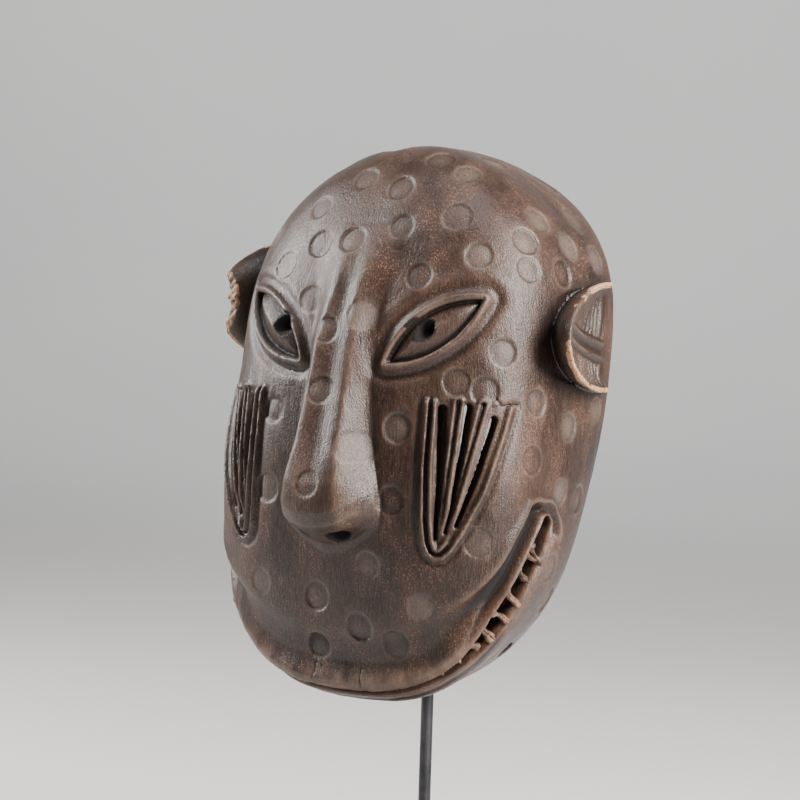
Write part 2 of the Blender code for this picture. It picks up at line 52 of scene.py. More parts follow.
HEAD_H = np.array((0.0, 60.0, 128.0, 200.0, 260.0, 310.0))
HEAD_HALF = np.array((83.0, 98.5, 99.0, 96.5, 104.5, 104.5))
HEAD_FRONT = np.array((49.5, 44.0, 51.5, 68.5, 70.5, 70.5))
HEAD_MID = np.array((57.5, 56.0, 47.0, 23.5, 15.0, 15.0))
HEAD_BACK = np.array((100.0, 107.0, 115.0, 126.0, 133.0, 133.0))
TOP, BOTTOM, BELLY = 310.0, 12.0, 190.0
CROWN_POWER, CHIN_POWER, SIDE_POWER = 2.03, 3.07, 2.75
WALL = 9.0
RIM = ((-36.0, 330.0), (-36.0, 104.0), (-31.0, 78.0), (-14.0, 52.0), (10.0, 34.0), (34.0, 20.0),
       (56.0, 2.0))
# The mouth runs down and forward as seen from the side. S goes along it, N across it.
MOUTH_RUN, MOUTH_FALL = 0.468, 0.884
MOUTH_N = 85.5
MOUTH_DROP = 4.5
CORNER_S = -79.0
LIP_TOP = 4.4

MOST_TRIANGLES = 192_000
JOIN_ROUND, HOLLOW_ROUND, RIM_ROUND = 2.0, 1.0, 2.0

# ---------------------------------------------------------------- camera, light and floor
VIEW_WIDTH = 0.45008               # what the frame spans at the mask, in metres
SENSOR = 36.0
DISTANCE = 1.30
AZ, EL, ROLL = math.radians(33.55), math.radians(3.55), math.radians(1.8)
target = Vector((0.0, ROD_Y, 0.305))
back = Vector((math.sin(AZ) * math.cos(EL), -math.cos(AZ) * math.cos(EL), math.sin(EL)))
cam_data = bpy.data.cameras.new("camera")
cam_data.sensor_width = SENSOR
cam_data.lens = SENSOR * DISTANCE / VIEW_WIDTH
cam_data.shift_x = -0.045
cam_data.shift_y = 0.03125
cam_data.clip_end = 30.0
cam = bpy.data.objects.new("camera", cam_data)
cam.location = target + back * DISTANCE
roll = Matrix.Rotation(ROLL, 3, "Z").to_quaternion()
cam.rotation_euler = (back.to_track_quat("Z", "Y") @ roll).to_euler()
bpy.context.scene.collection.objects.link(cam)
bpy.context.scene.camera = cam


def mesh_object(name, verts, faces):
    mesh = bpy.data.meshes.new(name)
    mesh.from_pydata([tuple(v) for v in verts], [], [tuple(f) for f in faces])
    mesh.update()
    mesh.shade_smooth()
    obj = bpy.data.objects.new(name, mesh)
    bpy.context.scene.collection.objects.link(obj)
    return obj


def backdrop():
    """A pale round floor that sweeps up into a wall on every side."""
    flat, radius, high, turns, below = 3.0, 1.8, 6.0, 96, 0.0002
    sweep = np.linspace(0.0, math.pi / 2, 20)
    line = [(flat + radius * math.sin(a), radius - radius * math.cos(a)) for a in sweep]
    line.append((flat + radius, high))
    verts, faces = [(0.0, 0.0, -below)], []
    for out, z in line:
        for k in range(turns):
            angle = 2 * math.pi * k / turns
            verts.append((out * math.cos(angle), out * math.sin(angle), z - below))
    for k in range(turns):
        after = (k + 1) % turns
        faces.append((0, 1 + k, 1 + after))
        for i in range(len(line) - 1):
            a, b = 1 + i * turns, 1 + (i + 1) * turns
            faces.append((a + k, b + k, b + after, a + after))
    return mesh_object("studio_floor", verts, faces)


floor = backdrop()


def area_light(name, place, aim, size, power, color=(1.0, 1.0, 1.0)):
    data = bpy.data.lights.new(name, "AREA")
    data.shape = "RECTANGLE"
    data.size, data.size_y = size
    data.energy = power
    data.color = color
    light = bpy.data.objects.new(name, data)
    light.location = place
    light.rotation_euler = (Vector(place) - Vector(aim)).to_track_quat("Z", "Y").to_euler()
    light.visible_camera = False
    bpy.context.scene.collection.objects.link(light)


MIDDLE = (0.0, 0.0, 0.31)
area_light("soft_right", (1.25, -0.10, 1.00), MIDDLE, (0.32, 1.2), 96.0, (1.0, 0.95, 0.92))
area_light("soft_left", (-1.30, -0.42, 0.92), MIDDLE, (0.24, 1.0), 46.0, (1.0, 0.96, 0.94))
area_light("soft_top", (0.10, -0.30, 1.75), MIDDLE, (0.8, 0.6), 12.0)
area_light("backdrop_wash", (-1.2, 2.0, 2.6), (-2.6, 4.9, 1.2), (2.5, 1.2), 90.0)
world = bpy.data.worlds.new("studio")
world.use_nodes = True
world.node_tree.nodes["Background"].inputs["Color"].default_value = (0.82, 0.83, 0.85, 1.0)
world.node_tree.nodes["Background"].inputs["Strength"].default_value = 0.06
bpy.context.scene.world = world


# ---------------------------------------------------------------- the carving as a distance field
def smooth(values, h):
    """A smooth curve through the head's section sizes."""
    slope = np.gradient(values, HEAD_H)
    h = np.clip(h, HEAD_H[0], HEAD_H[-1])
    i = np.clip(np.searchsorted(HEAD_H, h) - 1, 0, len(HEAD_H) - 2)
    step = HEAD_H[i + 1] - HEAD_H[i]
    t = (h - HEAD_H[i]) / step
    return (values[i] * (1 + 2 * t) * (1 - t) ** 2 + slope[i] * step * t * (1 - t) ** 2
            + values[i + 1] * t * t * (3 - 2 * t) + slope[i + 1] * step * t * t * (t - 1))


def ramp(low, high, v):
    """0 below `low`, 1 above `high`, smooth between; `low` may be the larger."""
    t = np.clip((v - low) / (high - low), 0.0, 1.0)
    return t * t * (3 - 2 * t)


def bump(center, width, v):
    return np.exp(-((v - center) / width) ** 2)


def smax(a, b, k):
    """The larger of two fields, with the edge between them rounded over k millimetres."""
    t = np.clip(0.5 + 0.5 * (a - b) / k, 0.0, 1.0)
    return b + (a - b) * t + k * t * (1 - t)


def head(x, f, h):
    """Roughly the distance off the head's plain outer surface, negative inside."""
    half, mid = smooth(HEAD_HALF, h), smooth(HEAD_MID, h)
    off = f - mid
    deep = np.where(off > 0, smooth(HEAD_FRONT, h), smooth(HEAD_BACK, h))
    ax, af = np.abs(x) / half, np.abs(off) / deep
    p = SIDE_POWER
    above = h > BELLY
    reach = np.where(above, TOP - BELLY, BELLY - BOTTOM)
    n = np.where(above, CROWN_POWER, CHIN_POWER)
    u = np.abs(h - BELLY) / reach
    r = (ax ** p + af ** p) ** (1 / p) + 1e-6
    total = r ** n + u ** n + 1e-9
    g = total ** (1 / n)
    from_r = (r / g) ** (n - 1)
    from_u = (u / g) ** (n - 1) / reach
    gx = from_r * (ax / r) ** (p - 1) / half
    gf = from_r * (af / r) ** (p - 1) / deep
    return ((g - 1) / np.sqrt(gx * gx + gf * gf + from_u * from_u + 1e-12)).astype(np.float32)


def face_f(x, h):
    """F of the plain face at (X, H)."""
    u = (h - BELLY) / (TOP - BELLY) if h > BELLY else (BELLY - h) / (BELLY - BOTTOM)
    n = CROWN_POWER if h > BELLY else CHIN_POWER
    full = max(0.0, 1 - u ** n) ** (1 / n)
    side = min(1.0, abs(x) / (float(smooth(HEAD_HALF, h)) * full))
    out = (1 - side ** SIDE_POWER) ** (1 / SIDE_POWER)
    return float(smooth(HEAD_MID, h)) + float(smooth(HEAD_FRONT, h)) * full * out


def on_surface(x, f, h):
    """Moves a point onto the plain head and gives (point, outward normal)."""
    p = np.array((x, f, h), float)
    steps = 0.5 * np.eye(3)
    for _ in range(6):
        d = float(head(*p))
        grad = np.array([float(head(*(p + step))) - float(head(*(p - step))) for step in steps])
        grad /= np.linalg.norm(grad)
        p = p - d * grad
    return p, grad


NOSE_H = np.array((90.0, 95.0, 98.5, 102.0, 106.0, 113.0, 128.0, 150.0, 180.0, 214.0, 244.0, 266.0))
NOSE_HALF = np.array((17.0, 20.0, 23.0, 25.5, 27.5, 28.0, 26.0, 22.0, 19.0, 18.0, 18.5, 20.0))
NOSE_RISE = np.array((0.0, 2.5, 7.5, 14.0, 19.5, 22.6, 21.8, 16.5, 10.5, 7.5, 4.0, 0.0))


def nose(x, f, h):
    """How far the nose stands off the face, with its flat bridge and round tip."""
    half = np.interp(h, NOSE_H, NOSE_HALF)
    t = np.abs(x) / half
    tip = ramp(150.0, 116.0, h)
    rise = np.interp(h - 12.0 * np.clip(t, 0, 1.3) ** 2.6 * tip, NOSE_H, NOSE_RISE)
    up = ramp(200.0, 250.0, h)
    flat = 1 - ramp(0.56 - 0.36 * up, 1.14 + 0.36 * up, t)
    ball = np.sqrt(np.clip(1 - (t / 1.12) ** 2.4, 0, 1))
    shape = flat * (1 - 0.6 * tip) + ball * 0.6 * tip
    ridges = 0.8 * bump(0.50, 0.30, t) - 0.8 * bump(0.0, 0.34, t)
    return rise * shape + ridges * ramp(112.0, 150.0, h) * ramp(262.0, 230.0, h)


EYE_LONG, EYE_HIGH = 31.0, 10.2


def eye_axes():
    """The eye's middle, the directions along and across it, and the way it looks."""
    inner, outer = np.array((28.0, 96.0, 187.0)), np.array((76.5, 72.0, 224.0))
    middle, out = on_surface(54.0, 91.0, 211.5)
    out = 0.45 * out + 0.55 * np.array((math.sin(0.42), math.cos(0.42), 0.08))
    along = (outer - inner) / np.linalg.norm(outer - inner)
    out = out - out.dot(along) * along
    out /= np.linalg.norm(out)
    across = np.cross(along, out)
    return middle, along, across if across[2] > 0 else -across, out


EYE_MIDDLE, EYE_ALONG, EYE_ACROSS, EYE_OUT = eye_axes()


def eye_plane(side, x, f, h):
    x = x * side - EYE_MIDDLE[0]
    f, h = f - EYE_MIDDLE[1], h - EYE_MIDDLE[2]
    return tuple(x * v[0] + f * v[1] + h * v[2] for v in (EYE_ALONG, EYE_ACROSS, EYE_OUT))


def almond(a, b):
    """Signed distance off the eye opening's almond outline."""
    radius = (EYE_LONG ** 2 + EYE_HIGH ** 2) / (2 * EYE_HIGH)
    away = radius - EYE_HIGH
    arcs = np.maximum(np.hypot(a, b + away), np.hypot(a, b - away)) - radius
    beyond = np.abs(a) * away > EYE_LONG * (np.abs(b) + away)
    return np.where(beyond, np.hypot(np.abs(a) - EYE_LONG, b), arcs)


def eye(side):
    def rise(x, f, h):
        a, b, c = eye_plane(side, x, f, h)
        d = almond(a, b)
        inside = np.clip(-d / EYE_HIGH, 0, 1)
        ball = -4.6 + 5.6 * inside ** 0.8
        lid = 1.5 * bump(1.9, 1.5, d)
        under = 0.45 + 0.55 * ramp(6.0, -8.0, b)
        groove = -2.2 * under * bump(6.8, 2.9, d)
        brow = 0.5 * bump(13.0, 3.4, d) * ramp(-6.0, 4.0, b)
        out = np.where(d < 0, ball * ramp(0.0, -1.2, d) + lid, lid) + groove + brow
        return out * ramp(-26.0, -14.0, c)
    return rise


def pupil(side):
    """A round hole. It narrows and slants to +X as it goes in, on both sides, only so that the pale
    backdrop doesn't show through it from the camera. The CAD's pupils run straight back."""
    def cut(x, f, h):
        depth = np.clip(90.0 - f, 0.0, 16.0)
        wide = np.hypot((x - 45.2 * side - 0.48 * depth) * 0.92, h - 211.0)
        return wide - np.maximum(7.3 - 0.46 * depth, 1.2)
    return cut


FAN_TURN = math.radians(35.0)
FAN_EDGE = ((-8.5, 176.0), (-10.3, 140.0), (-9.8, 112.0), (-8.3, 100.0), (-5.8, 94.2), (-1.8, 91.4),
            (2.6, 92.2), (7.0, 96.6), (13.0, 106.5), (24.0, 128.5), (33.5, 158.0), (37.0, 172.0))
SLOT_OUT = 108.0
# The slots slant this much more than the fan, only so that less of the pale backdrop shows through.
SLOT_TURN = math.radians(22.0)
FAN_SLOTS = (((1.4, 170.0), (-2.2, 103.0), 2.5, 1.2), ((14.0, 171.0), (2.4, 106.0), 2.1, 0.9),
             ((27.2, 165.0), (7.4, 110.0), 2.3, 1.1))
FAN_BARS = (((8.6, 174.0), (0.8, 106.0)), ((21.6, 173.0), (5.0, 109.0)))


def fan_plane(side, x, f):
    """(across the fan, out of it)"""
    x = x * side
    cos, sin = math.cos(FAN_TURN), math.sin(FAN_TURN)
    return x * cos - f * sin, x * sin + f * cos


def to_segment(u, h, start, end):
    """(distance to a segment, how far along it)"""
    du, dh = end[0] - start[0], end[1] - start[1]
    t = np.clip(((u - start[0]) * du + (h - start[1]) * dh) / (du * du + dh * dh), 0, 1)
    return np.hypot(u - start[0] - t * du, h - start[1] - t * dh), t


def polyline_distance(u, h, points, closed):
    ends = zip(points, points[1:] + points[:1]) if closed else zip(points[:-1], points[1:])
    best = None
    for start, end in ends:
        d = to_segment(u, h, start, end)[0]
        best = d if best is None else np.minimum(best, d)
    return best


def inside_polygon(u, h, points):
    crossed = np.zeros(np.broadcast(u, h).shape, bool)
    for (u0, h0), (u1, h1) in zip(points, points[1:] + points[:1]):
        if h0 != h1:
            crossed ^= ((h0 > h) != (h1 > h)) & (u < (u1 - u0) * (h - h0) / (h1 - h0) + u0)
    return crossed


def fan(side):
    edge = list(FAN_EDGE)

    def rise(x, f, h):
        u, out = fan_plane(side, x, f)
        line = polyline_distance(u, h, edge, False)
        d = np.where(inside_polygon(u, h, edge), -line, line)
        top = ramp(178.0, 172.0, h)
        middle = 0.16 * (h - 92.0) + 3.0
        inner = np.maximum(ramp(middle + 3.0, middle - 3.0, u), ramp(104.0, 98.0, h))
        second = 1.8 * bump(-5.0, 1.1, d) - 1.7 * bump(-2.9, 0.9, d)
        total = (1.7 * bump(-0.8, 1.1, d) + inner * second) * top
        total = total - 0.8 * bump(2.2, 1.6, d) * top
        for start, end in FAN_BARS:
            from_bar, along = to_segment(u, h, start, end)
            fade = ramp(1.0, 0.82, along)
            bar = 1.3 * bump(2.1 - 0.7 * along, 1.1, from_bar) - 1.3 * bump(0.0, 0.8, from_bar)
            total = total + bar * fade
        total = total - 0.9 * ramp(-1.8 - 3.8 * inner, -3.7 - 3.8 * inner, d) * top
        return total * ramp(58.0, 66.0, out)
    return rise


def slots(side):
    def cut(x, f, h):
        u, out = fan_plane(side, x, f)
        u = u + math.tan(SLOT_TURN) * (SLOT_OUT - out)
        narrower = 1 - 0.05 * np.clip(SLOT_OUT - out, 0.0, 10.0)
        best = None
        for start, end, wide, narrow in FAN_SLOTS:
            d, t = to_segment(u, h, start, end)
            d = d - (wide + (narrow - wide) * t) * narrower
            best = d if best is None else np.minimum(best, d)
        return np.maximum(best, 52.0 - out)
    return cut


def mouth_plane(x, f, h):
    """(signed distance across the mouth, S along it, the same distance before the corner rounds it off)"""
    s = MOUTH_RUN * f - MOUTH_FALL * h
    n = MOUTH_FALL * f + MOUTH_RUN * h - MOUTH_N + MOUTH_DROP * ramp(-34.0, 18.0, s)
    short = np.minimum(s - CORNER_S, 0.0)
    return np.where(n < 0, -1.0, 1.0) * np.hypot(n, short), s, n


def mouth_half(s):
    """Half the height of the gap between the lips at S."""
    return LIP_TOP + 1.5 * ramp(CORNER_S, -60.0, s) - 4.5 * ramp(-22.0, 14.0, s)


def mouth(x, f, h):
    """The raised lips, the groove round them and the ledge under the chin."""
    q, s, n = mouth_plane(x, f, h)
    front = ramp(-42.0, 4.0, s)
    beyond = ramp(CORNER_S + 4.0, CORNER_S - 2.0, s)
    past = np.clip((CORNER_S - s) / (np.abs(q) + 1e-3), 0, 1)
    room = 1 - 0.52 * ramp(0.0, 0.9, past)
    a = (np.abs(q) - mouth_half(s)) / room
    upper = np.where(n > 0, 1.0, beyond)
    lower = 1 - upper
    lip = 1.6 * bump(1.6, 1.4, a) - 0.5 * bump(3.6, 0.8, a)
    groove = -6.2 * room * ramp(2.8, 5.0, a) * ramp(16.0, 6.0, a)
    edge = 1.2 * bump(16.4, 2.8, a)
    beside = lip + groove + edge
    flare = 5.4 * ramp(0.2, 1.8, a) * ramp(9.0, 5.4, a) - 2.6 * bump(12.5, 5.5, a)
    up = beside * (1 - front) + flare * front
    low = (2.8 * bump(2.6, 2.2, a) - 3.0 * bump(8.2, 2.3, a)) * (1 - 0.8 * front)
    low = low + 3.6 * front * ramp(0.2, 2.2, a) * ramp(28.0, 14.0, a)
    return (up * upper + low * lower) * ramp(-10.0, 10.0, f)


def mouth_cut(x, f, h):
    q, s, _ = mouth_plane(x, f, h)
    return np.maximum(np.abs(q) - mouth_half(s), -f - 10.0)


EARS = {1: ((99.0, -20.0, 208.0), (117.0, 54.0)), -1: ((99.0, -20.0, 220.0), (117.0, 54.0))}
EAR_R = {1: 30.0, -1: 39.0}
EAR_OUT = 23.0
EAR_BREAK = {1: 80.0, -1: 69.0}        # where the front tip ends; the far ear's is read as broken off
EAR_WALL = 2.6
EAR_LIP = 2.4


def ear_plane(side, x, f, h):
    """(out along the ear, up it, through it, how far it reaches)"""
    center, front = EARS[side]
    reach = math.hypot(front[0] - center[0], front[1] - center[1])
    ux, uf = (front[0] - center[0]) / reach, (front[1] - center[1]) / reach
    x, f, h = x * side - center[0], f - center[1], h - center[2]
    return x * ux + f * uf, h, x * uf - f * ux, reach


def ellipsoid(a, b, c, ra, rb, rc):
    """Roughly the signed distance off an ellipsoid."""
    k0 = np.sqrt((a / ra) ** 2 + (b / rb) ** 2 + (c / rc) ** 2) + 1e-6
    k1 = np.sqrt((a / ra ** 2) ** 2 + (b / rb ** 2) ** 2 + (c / rc ** 2) ** 2) + 1e-9
    return k0 * (k0 - 1) / k1


def ear_ribs(a, b):
    """Carved ribs above and below two slanting bars."""
    total = 0.0
    lean = b + 0.20 * (62.0 - a)
    for middle in (8.5, 1.0):
        total = total + 2.2 * bump(middle, 1.6, lean)
    away = ramp(10.5, 12.5, lean) + ramp(-1.2, -3.2, lean)
    comb = np.abs(np.sin(math.pi * (a + 0.14 * b) / 4.6))
    return total + away * (1.9 * comb - 1.1)


def ear(side):
    def solid(x, f, h):
        a, b, c, reach = ear_plane(side, x, f, h)
        outer = np.maximum(ellipsoid(a, b, c, reach, EAR_R[side], EAR_OUT), c)
        broken = EAR_BREAK[side] + 0.6 * np.sin(0.45 * b) + 0.4 * np.sin(1.3 * b + 1.1 * c)
        outer = smax(outer, a - broken, 0.8)
        outer = smax(outer, -2.0 - a, 3.0)
        inner = ellipsoid(a, b, c, reach - EAR_WALL, EAR_R[side] - EAR_LIP, 10.0)
        return smax(outer, -(inner + 0.9 * ear_ribs(a, b)), 1.2)
    return solid


def ear_floor(side):
    def rise(x, f, h):
        a, b, c, reach = ear_plane(side, x, f, h)
        inner = (a / (reach - EAR_WALL)) ** 2 + (b / (EAR_R[side] - EAR_LIP)) ** 2
        within = ramp(1.05, 0.92, inner) * ramp(-6.0, 4.0, a) * ramp(14.0, 8.0, np.abs(c + 4.0))
        return (ear_ribs(a, b) - 1.5) * within
    return rise


NOSTRILS = {1: (11.0, 105.0, 102.0), -1: (14.5, 107.0, 101.0)}


def nostril(side):
    def cut(x, f, h):
        center = NOSTRILS[side]
        x, f, h = x * side - center[0], f - center[1], h - center[2]
        along = np.clip(-0.35 * f + 0.94 * h, -14.0, 14.0)
        return np.sqrt(0.75 * x * x + (f + 0.35 * along) ** 2 + (h - 0.94 * along) ** 2) - 5.2
    return cut


def cord_hole(side):
    def cut(x, f, h):
        return np.maximum(np.hypot((f - 23.0) * 0.80, h - 38.0) - 4.2, 40.0 - x * side)
    return cut


# Punched spots: (X, H) on the face, (F, H) on each side, (X, F) on the crown
FACE_SPOTS = ((-15, 290), (11, 285), (-38, 274), (-29, 254), (-7, 256), (21, 264), (50, 270), (67, 250),
              (39, 238), (13, 216), (-6, 207), (-4, 176), (19, 148), (-1, 128), (38, 159), (37, 121),
              (23, 86), (-11, 66), (67, 184), (54, 66), (16, 52), (-13, 38), (37, 44), (83, 102), (85, 200),
              (-51, 242), (-26, 224), (-44, 164), (-45, 122), (-51, 70), (80, 180), (-72, 258), (-82, 190))
LEFT_SPOTS = ((28, 282), (49, 266), (51, 246), (9, 260), (22, 242), (-19, 252), (-16, 286), (49, 174),
              (18, 160), (54, 144), (25, 126), (0, 120), (24, 84), (-16, 168), (6, 58))
RIGHT_SPOTS = ((38, 278), (8, 268), (-20, 262), (44, 252), (16, 240), (50, 168), (22, 152), (-12, 172),
               (52, 138), (26, 118), (-4, 112), (28, 80), (8, 62))
CROWN_SPOTS = ((24, 40), (48, 47), (39, 9), (-14, 22), (-46, 34), (8, -16), (-30, -14), (-60, 4), (62, -22))


def all_spots():
    found = []
    for x, h in FACE_SPOTS:
        found.append(on_surface(x, face_f(x, h), h))
    for side, pairs in ((1, LEFT_SPOTS), (-1, RIGHT_SPOTS)):
        for f, h in pairs:
            found.append(on_surface(side * 94.0, f, h))
    for x, f in CROWN_SPOTS:
        found.append(on_surface(x, f, 303.0))
    return found


SPOTS = all_spots()


def spot_profile(index, x, f, h):
    """(distance off the spot's axis, height along it, the spot's radius)"""
    c, n = SPOTS[index]
    dx, df, dh = x - c[0], f - c[1], h - c[2]
    out = dx * n[0] + df * n[1] + dh * n[2]
    r = np.sqrt(np.maximum(dx * dx + df * df + dh * dh - out * out, 0.0))
    size = 8.2 + 0.5 * math.sin(index * 2.3)
    return r, out, size


def spot(index):
    def rise(x, f, h):
        r, out, size = spot_profile(index, x, f, h)
        deep = 0.85 + 0.25 * math.sin(index * 1.9)
        dish = -deep * ramp(size + 0.2, size - 1.5, r) + 0.35 * deep * ramp(size - 1.5, 0.0, r)
        return dish * ramp(-16.0, -8.0, out) * ramp(40.0, 34.0, out)
    return rise


CRACKS = (((84.0, 176.0), (86.5, 172.5), (90.0, 173.0)), ((-16.0, 30.0), (-15.0, 26.0), (-16.5, 21.0)),
          ((15.0, 29.0), (14.0, 25.0), (15.5, 20.0)))


def crack(points):
    """A thin dry split in the front of the face, drawn in X and H."""
    def rise(x, f, h):
        return -1.1 * bump(0.0, 0.55, polyline_distance(x, h, points, False)) * ramp(20.0, 30.0, f)
    return rise


def rim_cut(f, h):
    """Behind the back opening's edge: positive outside the wood."""
    shape = list(RIM) + [(56.0, -60.0), (-190.0, -60.0), (-190.0, 330.0)]
    d = polyline_distance(f, h, shape, True)
    return np.where(inside_polygon(f, h, shape), d, -d)


def mirrored(side, x0, x1, f0, f1, h0, h1):
    return (x0, x1, f0, f1, h0, h1) if side > 0 else (-x1, -x0, f0, f1, h0, h1)


# (the box of X, F and H that a shape is worked out in, the shape[, how far its edge is rounded])
RAISED = [((-38, 38, 40, 124, 86, 272), nose), ((-126, 126, -12, 124, 8, 150), mouth)]
SOLIDS, CUTS = [], []
for side in (1, -1):
    RAISED.append((mirrored(side, 6, 96, 46, 118, 162, 250), eye(side)))
    RAISED.append((mirrored(side, 34, 112, 34, 110, 84, 184), fan(side)))
    RAISED.append((mirrored(side, 76, 126, -38, 62, 168, 258), ear_floor(side)))
    SOLIDS.append((mirrored(side, 70, 126, -40, 70, 165, 260), ear(side)))
    CUTS.append((mirrored(side, 30, 80, 40, 118, 190, 230), pupil(side), 1.0))
    CUTS.append((mirrored(side, 34, 112, 20, 110, 92, 184), slots(side), 1.1))
    CUTS.append((mirrored(side, 0, 30, 88, 126, 80, 130), nostril(side), 1.4))
    CUTS.append((mirrored(side, 40, 100, 8, 40, 24, 52), cord_hole(side), 1.4))
CUTS.append(((-126, 126, -12, 124, 0, 130), mouth_cut, 1.2))
for points in CRACKS:
    across, up = [v[0] for v in points], [v[1] for v in points]
    box = (min(across) - 3, max(across) + 3, 20, 126, min(up) - 3, max(up) + 3)
    RAISED.append((box, crack(points)))
for number, (c, _) in enumerate(SPOTS):
    box = (c[0] - 30, c[0] + 30, c[1] - 30, c[1] + 44, c[2] - 30, c[2] + 30)
    RAISED.append((box, spot(number)))


def carving(x, f, h, pick):
    """The whole carving. `pick(box)` gives where a box's points are in the result, and their X, F and H."""
    plain = head(x, f, h)
    rise = np.zeros_like(plain)
    for box, shape in RAISED:
        at, place = pick(box)
        rise[at] += shape(*place)
    d = plain - rise
    for box, shape in SOLIDS:
        at, place = pick(box)
        d[at] = -smax(-d[at], -shape(*place), JOIN_ROUND)
    d = smax(d, -(plain + WALL), HOLLOW_ROUND)
    for box, shape, rounding in CUTS:
        at, place = pick(box)
        d[at] = smax(d[at], -shape(*place), rounding)
    return smax(d, rim_cut(f, h), RIM_ROUND).astype(np.float32)


def full_field(x, f, h):
    """The carving's field at scattered points."""
    def pick(box):
        x0, x1, f0, f1, h0, h1 = box
        within = (x >= x0) & (x <= x1) & (f >= f0) & (f <= f1) & (h >= h0) & (h <= h1)
        at = np.nonzero(within)[0]
        return at, (x[at], f[at], h[at])
    return carving(x, f, h, pick)


def grid_field(xs, fs, hs):
    """The carving's field on a grid."""
    x, f, h = xs[:, None, None], fs[None, :, None], hs[None, None, :]

    def pick(box):
        spans = []
        for axis, low, high in zip((xs, fs, hs), box[::2], box[1::2]):
            spans.append(slice(int(np.searchsorted(axis, low)), int(np.searchsorted(axis, high))))
        i, j, k = spans
        return (i, j, k), (x[i], f[:, j], h[:, :, k])
    return carving(x, f, h, pick)


def surface_nets(d, low, step):
    """Points and four-sided faces of the surface where the grid `d` changes sign."""
    inside = d < 0
    nx, ny, nz = (n - 1 for n in d.shape)
    count = np.zeros((nx, ny, nz), np.int8)
    for i in (0, 1):
        for j in (0, 1):
            for k in (0, 1):
                count += inside[i:i + nx, j:j + ny, k:k + nz]
    active = (count > 0) & (count < 8)
    cell = np.full((nx, ny, nz), -1, np.int32)
    ci, cj, ck = np.nonzero(active)
    cell[ci, cj, ck] = np.arange(len(ci))
    total = np.zeros((len(ci), 3))
    hits = np.zeros(len(ci))
    corners = [(i, j, k) for i in (0, 1) for j in (0, 1) for k in (0, 1)]
    for a in corners:
        for b in corners:
            if sum(b) - sum(a) == 1 and all(q >= p for p, q in zip(a, b)):
                da = d[ci + a[0], cj + a[1], ck + a[2]]
                db = d[ci + b[0], cj + b[1], ck + b[2]]
                crossed = (da < 0) != (db < 0)
                t = np.where(crossed, da / np.where(crossed, da - db, 1.0), 0.0)
                for axis in range(3):
                    total[:, axis] += np.where(crossed, a[axis] + t * (b[axis] - a[axis]), 0.0)
                hits += crossed
    points = (np.stack([ci, cj, ck], 1) + total / hits[:, None]) * step + np.array(low)
    faces = []
    for axis in range(3):
        near = [slice(0, n) for n in inside.shape]
        far = [slice(0, n) for n in inside.shape]
        near[axis], far[axis] = slice(0, -1), slice(1, None)
        changed = inside[tuple(near)] != inside[tuple(far)]
        at = np.stack(np.nonzero(changed), 1)
        u, v = (axis + 1) % 3, (axis + 2) % 3
        keep = (at[:, u] > 0) & (at[:, v] > 0)
        keep &= (at[:, u] < d.shape[u] - 1) & (at[:, v] < d.shape[v] - 1)
        at = at[keep]
        ring = []
        for du, dv in ((-1, -1), (0, -1), (0, 0), (-1, 0)):
            step_to = at.copy()
            step_to[:, u] += du
            step_to[:, v] += dv
            ring.append(cell[step_to[:, 0], step_to[:, 1], step_to[:, 2]])
        ring = np.stack(ring, 1)
        outward = inside[at[:, 0], at[:, 1], at[:, 2]]
        ring[~outward] = ring[~outward][:, ::-1]
        faces.append(ring)
    return points, np.concatenate(faces)


def fast_mesh(name, points, faces):
    """A mesh from arrays; every face has as many corners as the first."""
    mesh = bpy.data.meshes.new(name)
    mesh.vertices.add(len(points))
    mesh.vertices.foreach_set("co", np.ascontiguousarray(points, np.float32).ravel())
    size = faces.shape[1]
    mesh.loops.add(len(faces) * size)
    mesh.loops.foreach_set("vertex_index", np.ascontiguousarray(faces, np.int32).ravel())
    mesh.polygons.add(len(faces))
    mesh.polygons.foreach_set("loop_start", np.arange(0, len(faces) * size, size, dtype=np.int32))
    mesh.update(calc_edges=True)
    mesh.validate()
    return mesh


def to_world(p):
    """Mask points in millimetres as world points in metres."""
    return np.stack([p[:, 0] * 0.001, ROD_Y - p[:, 1] * 0.001, MASK_Z + p[:, 2] * 0.001], 1)


def from_world(p):
    return p[:, 0] * 1000, (ROD_Y - p[:, 1]) * 1000, (p[:, 2] - MASK_Z) * 1000


def value_noise(x, y, z, cell, seed):
    """Smooth noise between -1 and 1 at scattered points."""
    rng = np.random.default_rng(seed)
    table = rng.uniform(-1, 1, 4096)
    p = [np.asarray(v) / cell for v in (x, y, z)]
    base = [np.floor(v).astype(np.int64) for v in p]
    t = [v - b for v, b in zip(p, base)]
    t = [v * v * (3 - 2 * v) for v in t]
    total = 0.0
    for i in (0, 1):
        for j in (0, 1):
            for k in (0, 1):
                key = (base[0] + i) * 73856093 ^ (base[1] + j) * 19349663
                key = key ^ (base[2] + k) * 83492791
                weight = (t[0] if i else 1 - t[0]) * (t[1] if j else 1 - t[1]) * (t[2] if k else 1 - t[2])
                total = total + weight * table[key % 4096]
    return total


# ---------------------------------------------------------------- from the field to a finished mesh
def gradient(x, f, h):
    step = 0.35
    parts = []
    for dx, df, dh in ((step, 0, 0), (0, step, 0), (0, 0, step)):
        parts.append(full_field(x + dx, f + df, h + dh) - full_field(x - dx, f - df, h - dh))
    return np.stack(parts, 1) / (2 * step)


def positions(mesh):
    co = np.empty(len(mesh.vertices) * 3, np.float32)
    mesh.vertices.foreach_get("co", co)
    return co.reshape(-1, 3).astype(float)


